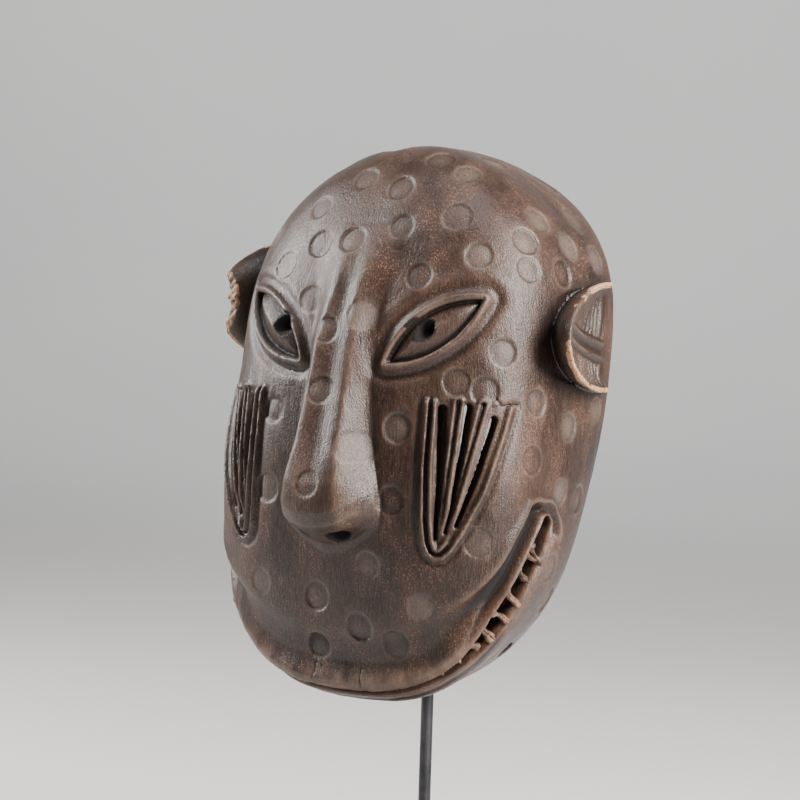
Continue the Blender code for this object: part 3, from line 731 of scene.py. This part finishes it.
def thinned(obj, most):
    """Collapses the flattest faces first, down to `most` triangles, so that small carving stays."""
    count = sum(len(p.vertices) - 2 for p in obj.data.polygons)
    if count > most:
        thin = obj.modifiers.new("thin", "DECIMATE")
        thin.ratio = most / count
        graph = bpy.context.evaluated_depsgraph_get()
        mesh = bpy.data.meshes.new_from_object(obj.evaluated_get(graph))
        obj.modifiers.clear()
        obj.data = mesh


def set_attribute(mesh, name, values):
    layer = mesh.attributes.new(name, "FLOAT", "POINT")
    layer.data.foreach_set("value", np.ascontiguousarray(values, np.float32))


def wood_masks_and_painted_shade(x, f, h, normal):
    """Per-point masks that the wood's material reads: wear, spots, lip paint and bare wood, with painted
    shade in creases, occluded places and deep cuts, and a painted highlight on the spot rims.
    """
    across = np.cross(normal, np.array((0.31, 0.52, 0.79)))
    across /= np.linalg.norm(across, axis=1)[:, None]
    along = np.cross(normal, across)
    masks = {}
    here = full_field(x, f, h)
    curved = {}
    for radius in (1.3, 3.2):
        total = 0.0
        for angle in np.arange(6) * math.pi / 3:
            q = radius * (math.cos(angle) * across + math.sin(angle) * along)
            total = total + full_field(x + q[:, 0], f + q[:, 1], h + q[:, 2]) - here
        curved[radius] = total / 6 / radius
    masks["edge"] = np.clip(np.maximum(curved[1.3] * 4.2, curved[3.2] * 3.0), 0, 1)
    # painted shade: concave creases and hollows get a mask that darkens them in the wood's colour
    masks["hollow"] = np.clip(np.maximum(-curved[1.3] * 3.2, -curved[3.2] * 2.6), 0, 1)
    shade = np.ones_like(x)
    for reach in (4.0, 9.0, 16.0):
        away = reach * normal
        room = full_field(x + away[:, 0], f + away[:, 1], h + away[:, 2])
        shade = np.minimum(shade, np.clip(room / reach, 0, 1))
    masks["shade"] = 1 - shade
    plain = head(x, f, h)
    masks["inner"] = ramp(7.0, 8.4, -plain)
    # painted shade: surfaces 1.5 to 4.5 mm into slots, the mouth and other deep cuts, away from the back
    # rim, are marked to be painted near-black
    masks["deep"] = ramp(1.5, 4.5, -plain) * ramp(0.8, 3.0, -rim_cut(f, h))
    # painted shade: the pupil and nostril walls are marked for the same near-black
    for side in (1, -1):
        for hole in (pupil(side), nostril(side)):
            wall = (np.abs(hole(x, f, h)) < 1.1) & (f > 60.0)
            masks["deep"] = np.where(wall, 1.0, masks["deep"])
            masks["inner"] = np.where(wall, 0.0, masks["inner"])
    dish, ring = np.zeros_like(x), np.zeros_like(x)
    for number, (c, _) in enumerate(SPOTS):
        near = (np.abs(x - c[0]) < 16) & (np.abs(f - c[1]) < 34) & (np.abs(h - c[2]) < 16)
        near = np.nonzero(near & (plain > -4))[0]
        r, _, size = spot_profile(number, x[near], f[near], h[near])
        pale = 0.55 + 0.45 * math.sin(number * 3.7)
        dish[near] = np.maximum(dish[near], ramp(size, size - 1.2, r) * pale)
        # painted highlight: a thin band along each spot's rim is marked to be painted paler
        ring[near] = np.maximum(ring[near], bump(size - 0.1, 0.7, r))
    masks["dish"], masks["ring"] = dish, ring
    rough = 0.6 * value_noise(x, f, h, 5.0, 3) + 0.4 * value_noise(x, f, h, 1.7, 4)
    bare = np.zeros_like(x)
    for side in (1, -1):
        a, b, c, reach = ear_plane(side, x, f, h)
        wall = (a / reach) ** 2 + (b / EAR_R[side]) ** 2
        near = ramp(3.4, 1.2, np.abs(c + 0.8)) * ramp(0.78, 0.86, wall) * (x * side > 88)
        low = ramp(6.0, -6.0, b)
        tip = ramp(21.0, 25.0, b) * ramp(46.0, 34.0, a)
        snapped = ramp(EAR_BREAK[side] - 3.0, EAR_BREAK[side] - 1.4, a) * (np.abs(x) > 88)
        bare = np.maximum(bare, snapped * (0.5 + 0.5 * rough) * (b > -14))
        bare = np.maximum(bare, near * np.clip(0.18 + 0.75 * low + 1.2 * tip + 1.3 * rough, 0, 1))
    masks["bare"] = bare
    q, s, _ = mouth_plane(x, f, h)
    lips = ramp(4.5, 2.5, np.abs(q) - mouth_half(s)) * ramp(-3.5, -1.0, plain)
    lips = lips * ramp(-10.0, 0.0, f) * (h < 125)
    masks["red"] = np.clip(lips * (0.45 + 0.9 * rough), 0, 1)
    ledge = ramp(-20.0, 2.0, s) * ramp(1.0, 3.0, q) * ramp(9.5, 7.5, q) * ramp(-2.0, 0.5, plain)
    masks["worn"] = np.clip(ledge * (0.75 + 0.6 * rough), 0, 1)
    return masks


def sculpt():
    """Meshes the field, pulls the points onto it, then adds the hand-cut unevenness and the masks."""
    low = (-126.0, -40.0, 6.0)
    high = (126.0, 128.0, 314.0)
    axes = [np.arange(a, b, VOXEL) for a, b in zip(low, high)]
    points, faces = surface_nets(grid_field(*axes), low, VOXEL)
    points = points.astype(float)
    mesh = fast_mesh("mask_carving", to_world(points), faces[:, ::-1])
    obj = bpy.data.objects.new("mask_carving", mesh)
    bpy.context.scene.collection.objects.link(obj)
    thinned(obj, MOST_TRIANGLES)
    x, f, h = from_world(positions(obj.data))
    for _ in range(2):
        slope = gradient(x, f, h)
        length = np.linalg.norm(slope, axis=1)
        move = np.clip(full_field(x, f, h) / np.maximum(length, 0.35), -0.5, 0.5)[:, None] * slope
        move /= np.maximum(length, 0.35)[:, None]
        x, f, h = x - move[:, 0], f - move[:, 1], h - move[:, 2]
    slope = gradient(x, f, h)
    normal = slope / np.maximum(np.linalg.norm(slope, axis=1), 1e-6)[:, None]
    masks = wood_masks_and_painted_shade(x, f, h, normal)
    hand = (0.30 * value_noise(x, f, h * 0.6, 15.0, 11) + 0.13 * value_noise(x, f, h * 0.5, 5.0, 12)
            + 0.06 * value_noise(x, f, h * 0.35, 2.2, 13)) * (1 + 0.8 * masks["inner"])
    hand = hand - 0.9 * masks["inner"] * np.abs(value_noise(x * 1.5, f * 1.5, h, 14.0, 21))
    chips = -0.5 * np.clip(value_noise(x, f, h, 3.4, 14) - 0.35, 0, 1) * masks["edge"]
    shift = (hand + chips)[:, None] * normal
    points = np.stack([x, f, h], 1) + shift
    points[:, 0] = np.clip(points[:, 0], -117.0, 117.0)
    points[:, 2] = np.clip(points[:, 2], 8.0, 309.9)
    obj.data.vertices.foreach_set("co", np.ascontiguousarray(to_world(points), np.float32).ravel())
    for name, values in masks.items():
        set_attribute(obj.data, name, values)
    obj.data.update()
    obj.data.shade_smooth()
    return obj


# ---------------------------------------------------------------- materials
def add_node(tree, kind, inputs=None, **settings):
    made = tree.nodes.new(kind)
    for key, value in settings.items():
        setattr(made, key, value)
    for key, value in (inputs or {}).items():
        if isinstance(value, bpy.types.NodeSocket):
            tree.links.new(value, made.inputs[key])
        else:
            made.inputs[key].default_value = value
    return made


class Paint:
    """A short way to write a node material."""

    def __init__(self, name):
        self.material = bpy.data.materials.new(name)
        self.material.use_nodes = True
        self.tree = self.material.node_tree
        self.shader = self.tree.nodes["Principled BSDF"]
        self.place = add_node(self.tree, "ShaderNodeTexCoord").outputs["Object"]

    def stretched(self, x, y, z):
        """The place, with each axis in features per metre."""
        inputs = {0: self.place, 1: (x, y, z)}
        return add_node(self.tree, "ShaderNodeVectorMath", inputs, operation="MULTIPLY").outputs[0]

    def noise(self, x, y, z, detail=3.0, rough=0.55):
        inputs = {"Vector": self.stretched(x, y, z), "Scale": 1.0, "Detail": detail, "Roughness": rough}
        return add_node(self.tree, "ShaderNodeTexNoise", inputs).outputs[0]

    def attribute(self, name):
        return add_node(self.tree, "ShaderNodeAttribute", attribute_name=name).outputs["Fac"]

    def band(self, value, low, high, out_low=0.0, out_high=1.0):
        inputs = {0: value, 1: low, 2: high, 3: out_low, 4: out_high}
        return add_node(self.tree, "ShaderNodeMapRange", inputs).outputs[0]

    def math(self, operation, a, b):
        return add_node(self.tree, "ShaderNodeMath", {0: a, 1: b}, operation=operation).outputs[0]

    def times(self, a, b):
        return self.math("MULTIPLY", a, b)

    def mix(self, factor, a, b):
        made = add_node(self.tree, "ShaderNodeMix", data_type="RGBA")
        for index, value in ((0, factor), (6, a), (7, b)):
            if isinstance(value, bpy.types.NodeSocket):
                self.tree.links.new(value, made.inputs[index])
            else:
                made.inputs[index].default_value = value if index == 0 else (*value, 1.0)
        return made.outputs[2]

    def bump(self, height, strength, distance):
        inputs = {"Height": height, "Strength": strength, "Distance": distance}
        made = add_node(self.tree, "ShaderNodeBump", inputs)
        self.tree.links.new(made.outputs[0], self.shader.inputs["Normal"])

    def finish(self, **inputs):
        for key, value in inputs.items():
            key = key.replace("_", " ").title().replace("Ior", "IOR")
            if isinstance(value, bpy.types.NodeSocket):
                self.tree.links.new(value, self.shader.inputs[key])
            else:
                self.shader.inputs[key].default_value = value
        return self.material


def carved_wood():
    """Dark oiled hardwood: vertical grain, pale dust, matt spots, bare tan wood where it chipped, with
    painted shade in creases, occluded places and deep cuts, and a painted highlight on the spot rims.
    """
    p = Paint("carved_wood_aged")
    grain = p.noise(750, 750, 42, 4.0, 0.6)
    fine = p.noise(1900, 1900, 160, 2.0)
    blotch = p.noise(21, 21, 15, 4.0, 0.6)
    patch = p.noise(60, 60, 34, 3.0, 0.6)
    speck = p.noise(1300, 1300, 900, 1.0)
    color = p.mix(p.band(blotch, 0.34, 0.66), (0.0085, 0.0044, 0.0033), (0.042, 0.0212, 0.0148))
    color = p.mix(p.band(patch, 0.48, 0.72, 0.0, 0.55), color, (0.060, 0.0265, 0.0155))
    color = p.mix(p.band(grain, 0.36, 0.64), p.mix(0.45, color, (0.012, 0.008, 0.007)), color)
    color = p.mix(p.times(p.band(fine, 0.45, 0.75), 0.3), color, (0.12, 0.082, 0.062))
    dust = p.times(p.band(speck, 0.58, 0.66), p.band(patch, 0.38, 0.64, 0.0, 0.6))
    color = p.mix(dust, color, (0.19, 0.105, 0.062))
    dish = p.times(p.attribute("dish"), p.band(speck, 0.25, 0.75, 0.3, 0.8))
    color = p.mix(dish, color, (0.110, 0.083, 0.068))
    # painted highlight: the ring mask lightens a thin band along each spot's rim
    ring = p.times(p.attribute("ring"), p.band(patch, 0.35, 0.7, 0.0, 0.18))
    color = p.mix(ring, color, (0.15, 0.11, 0.085))
    red = p.times(p.attribute("red"), p.band(grain, 0.3, 0.6, 0.15, 0.6))
    color = p.mix(red, color, (0.17, 0.068, 0.032))
    rubbed = p.times(p.attribute("edge"), p.band(patch, 0.3, 0.65, 0.10, 0.45))
    color = p.mix(rubbed, color, (0.15, 0.105, 0.08))
    chipped = p.times(p.band(grain, 0.3, 0.6, 0.5, 1.0), p.band(patch, 0.40, 0.60, 0.15, 0.85))
    color = p.mix(p.times(p.attribute("worn"), chipped), color, (0.15, 0.095, 0.066))
    # painted shade: concave creases are pulled towards near-black
    color = p.mix(p.band(p.attribute("hollow"), 0.05, 0.8, 0.0, 0.75), color, (0.012, 0.0085, 0.007))
    color = p.mix(p.band(p.attribute("shade"), 0.35, 1.0, 0.0, 0.7), color, (0.008, 0.0055, 0.0048))
    # painted shade: the deep mask paints the walls of slots, the mouth, pupils and nostrils near-black
    color = p.mix(p.attribute("deep"), color, (0.006, 0.004, 0.0034))
    inside = p.mix(p.band(grain, 0.35, 0.65), (0.055, 0.033, 0.022), (0.125, 0.078, 0.050))
    color = p.mix(p.attribute("inner"), color, inside)
    tan = p.mix(p.band(fine, 0.38, 0.66), (0.50, 0.29, 0.175), (0.20, 0.095, 0.048))
    tan = p.mix(p.band(speck, 0.52, 0.7), tan, (0.07, 0.035, 0.02))
    color = p.mix(p.band(p.attribute("bare"), 0.45, 0.62), color, tan)
    streaks = p.math("ADD", p.times(grain, 0.4), p.times(patch, 0.6))
    rough = p.band(streaks, 0.35, 0.65, 0.27, 0.50)
    rough = p.math("ADD", rough, p.times(p.attribute("inner"), 0.25))
    rough = p.math("ADD", rough, p.times(p.attribute("dish"), 0.10))
    rough = p.math("MAXIMUM", rough, p.times(p.attribute("bare"), 0.8))
    rough = p.math("MAXIMUM", rough, p.times(p.attribute("deep"), 0.85))
    pores = p.math("ADD", p.times(grain, 0.6), p.times(speck, 0.5))
    p.bump(pores, 0.5, 0.0008)
    return p.finish(base_color=color, roughness=rough, specular_ior_level=0.31)


def splinter_wood():
    """Torn pale fibres of the same wood."""
    p = Paint("splinter_wood")
    fibre = p.noise(1500, 700, 500, 3.0)
    dirt = p.noise(170, 170, 170, 3.0)
    color = p.mix(p.band(fibre, 0.35, 0.65), (0.27, 0.150, 0.090), (0.085, 0.036, 0.019))
    color = p.mix(p.band(dirt, 0.42, 0.58, 0.0, 0.9), color, (0.026, 0.014, 0.009))
    p.bump(fibre, 0.5, 0.0008)
    return p.finish(base_color=color, roughness=p.band(dirt, 0.3, 0.7, 0.62, 0.85))


def painted_wood():
    p = Paint("black_painted_wood_fine")
    brush = p.noise(260, 16, 260, 3.0)
    dust = p.noise(45, 45, 45, 4.0, 0.65)
    color = p.mix(p.band(dust, 0.45, 0.75, 0.0, 0.6), (0.012, 0.012, 0.0125), (0.035, 0.034, 0.034))
    p.bump(brush, 0.12, 0.0004)
    return p.finish(base_color=color, roughness=p.band(brush, 0.3, 0.7, 0.34, 0.5))


def blackened_steel():
    p = Paint("blackened_steel_fine")
    drawn = p.noise(900, 900, 24, 3.0)
    cloud = p.noise(110, 110, 70, 4.0, 0.6)
    color = p.mix(p.band(cloud, 0.35, 0.7), (0.030, 0.031, 0.034), (0.062, 0.062, 0.066))
    p.bump(drawn, 0.15, 0.0002)
    return p.finish(base_color=color, metallic=0.85, roughness=p.band(drawn, 0.3, 0.7, 0.34, 0.52))


def turned_brass():
    p = Paint("turned_brass")
    ring = p.noise(40, 1600, 1600, 2.0)
    tarnish = p.noise(240, 240, 240, 4.0)
    color = p.mix(p.band(tarnish, 0.45, 0.7), (0.62, 0.42, 0.16), (0.30, 0.19, 0.08))
    p.bump(ring, 0.2, 0.0002)
    return p.finish(base_color=color, metallic=1.0, roughness=p.band(tarnish, 0.3, 0.7, 0.26, 0.46))


def pressed_felt():
    p = Paint("pressed_felt")
    fibre = p.noise(2200, 2200, 2200, 3.0)
    clump = p.noise(420, 420, 420, 3.0)
    color = p.mix(p.band(clump, 0.35, 0.65), (0.030, 0.030, 0.033), (0.062, 0.061, 0.064))
    p.bump(p.math("ADD", fibre, clump), 0.8, 0.0006)
    return p.finish(base_color=color, roughness=p.band(fibre, 0.3, 0.7, 0.88, 0.98))


def soft_rubber():
    p = Paint("soft_rubber")
    bloom = p.noise(320, 320, 320, 4.0)
    color = p.mix(p.band(bloom, 0.45, 0.7), (0.022, 0.022, 0.023), (0.055, 0.053, 0.051))
    p.bump(bloom, 0.2, 0.0003)
    return p.finish(base_color=color, roughness=p.band(bloom, 0.3, 0.7, 0.55, 0.75))


def studio_paper():
    p = Paint("studio_paper")
    soft = p.noise(1.2, 1.2, 1.2, 2.0)
    color = p.mix(p.band(soft, 0.3, 0.7), (0.56, 0.56, 0.555), (0.53, 0.53, 0.53))
    return p.finish(base_color=color, roughness=0.9)


WOOD, SPLINTER, STEEL = carved_wood(), splinter_wood(), blackened_steel()


def dress(obj, material):
    obj.data.materials.clear()
    obj.data.materials.append(material)


# ---------------------------------------------------------------- the mask
mask = sculpt()
dress(mask, WOOD)
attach(mask, "mask")
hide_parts("mask_shell")

# ---------------------------------------------------------------- splinters that bridge the mouth
ALONG_MOUTH = np.array((0.0, MOUTH_RUN, -MOUTH_FALL))
ACROSS_MOUTH = np.array((0.0, MOUTH_FALL, MOUTH_RUN))


def strand(start, end, width, depth, seed, out):
    """A bent, ragged strip of fibre between two points; `out` is the way its depth runs."""
    rng = np.random.default_rng(seed)
    start, end, out = np.array(start, float), np.array(end, float), np.array(out, float)
    axis = end - start
    length = np.linalg.norm(axis)
    axis /= length
    out = out - out.dot(axis) * axis
    out /= np.linalg.norm(out)
    wide = np.cross(axis, out)
    rings, sides = 15, 12
    bend = rng.uniform(-0.6, 0.6)
    twist = rng.uniform(-0.35, 0.35)
    rough = rng.uniform(-1, 1, (rings, sides))
    streak = rng.uniform(-1, 1, sides)
    verts, faces = [], []
    for i in range(rings):
        t = i / (rings - 1)
        flare = 0.72 + 0.75 * abs(2 * t - 1) ** 2.2
        center = start + axis * length * t + wide * bend * math.sin(math.pi * t)
        for j in range(sides):
            angle = 2 * math.pi * j / sides + twist * t
            r = 1 + 0.16 * streak[j] + 0.13 * rough[i, j]
            sideways = wide * (0.5 * width * flare * r * math.cos(angle))
            outwards = out * (0.5 * depth * flare * r * math.sin(angle))
            verts.append(center + sideways + outwards + axis * 0.25 * rough[i, j])
    for i in range(rings - 1):
        for j in range(sides):
            k = (j + 1) % sides
            faces.append((i * sides + j, i * sides + k, (i + 1) * sides + k, (i + 1) * sides + j))
    first, last = len(verts), len(verts) + 1
    verts += [start - axis * 0.3, end + axis * 0.3]
    for j in range(sides):
        k = (j + 1) % sides
        faces += [(first, k, j), (last, (rings - 1) * sides + j, (rings - 1) * sides + k)]
    return verts, faces


def splinter(tag, number):
    """Two or three strands from lip to lip, in place of one CAD tooth."""
    name = f"tooth_{tag}_{number}"
    low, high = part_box(name)
    center = from_world(np.array([(low + high) / 2]))
    x, f, h = (float(v[0]) for v in center)
    rng = np.random.default_rng(100 * number + (0 if tag == "l" else 50))
    _, s, n = (float(v) for v in mouth_plane(x, f, h))
    middle = np.array((x, f, h)) - ACROSS_MOUTH * n
    skin, out = on_surface(*middle)
    middle = skin - out * 0.2
    half = float(mouth_half(s)) + 1.5
    verts, faces = [], []
    count = int(rng.integers(2, 4))
    for _ in range(count):
        foot = middle - ACROSS_MOUTH * half
        foot = foot + ALONG_MOUTH * rng.uniform(-2.2, 2.2) + out * rng.uniform(-2.2, 0.4)
        tip = middle + ACROSS_MOUTH * half
        tip = tip + ALONG_MOUTH * rng.uniform(-2.6, 2.6) + out * rng.uniform(-2.2, 0.4)
        width, depth = rng.uniform(1.8, 3.6), rng.uniform(3.0, 5.2)
        more, strips = strand(foot, tip, width, depth, int(rng.integers(1 << 30)), out)
        faces += [tuple(i + len(verts) for i in face) for face in strips]
        verts += more
    obj = mesh_object(f"splint_{tag}_{number}", to_world(np.array(verts)), faces)
    volume = bmesh.new()
    volume.from_mesh(obj.data)
    bmesh.ops.recalc_face_normals(volume, faces=volume.faces)
    volume.to_mesh(obj.data)
    volume.free()
    obj.data.shade_smooth()
    dress(obj, SPLINTER)
    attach(obj, "mask")
    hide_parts(name)


for tag in ("l", "r"):
    for number in range(1, 9):
        splinter(tag, number)

# ---------------------------------------------------------------- the stand
FINISHES = {"stand_base": painted_wood(), "clamp_screw": turned_brass(), "crown_pad": pressed_felt()}
RUBBER = soft_rubber()
for name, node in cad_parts.items():
    if name == "mask_shell" or name.startswith("tooth_"):
        continue
    if name.startswith("foot_pad"):
        dress(node, FINISHES["crown_pad"])
    elif name.startswith("arm_tip") or name == "chin_tip":
        dress(node, RUBBER)
    else:
        dress(node, FINISHES.get(name, STEEL))
dress(floor, studio_paper())
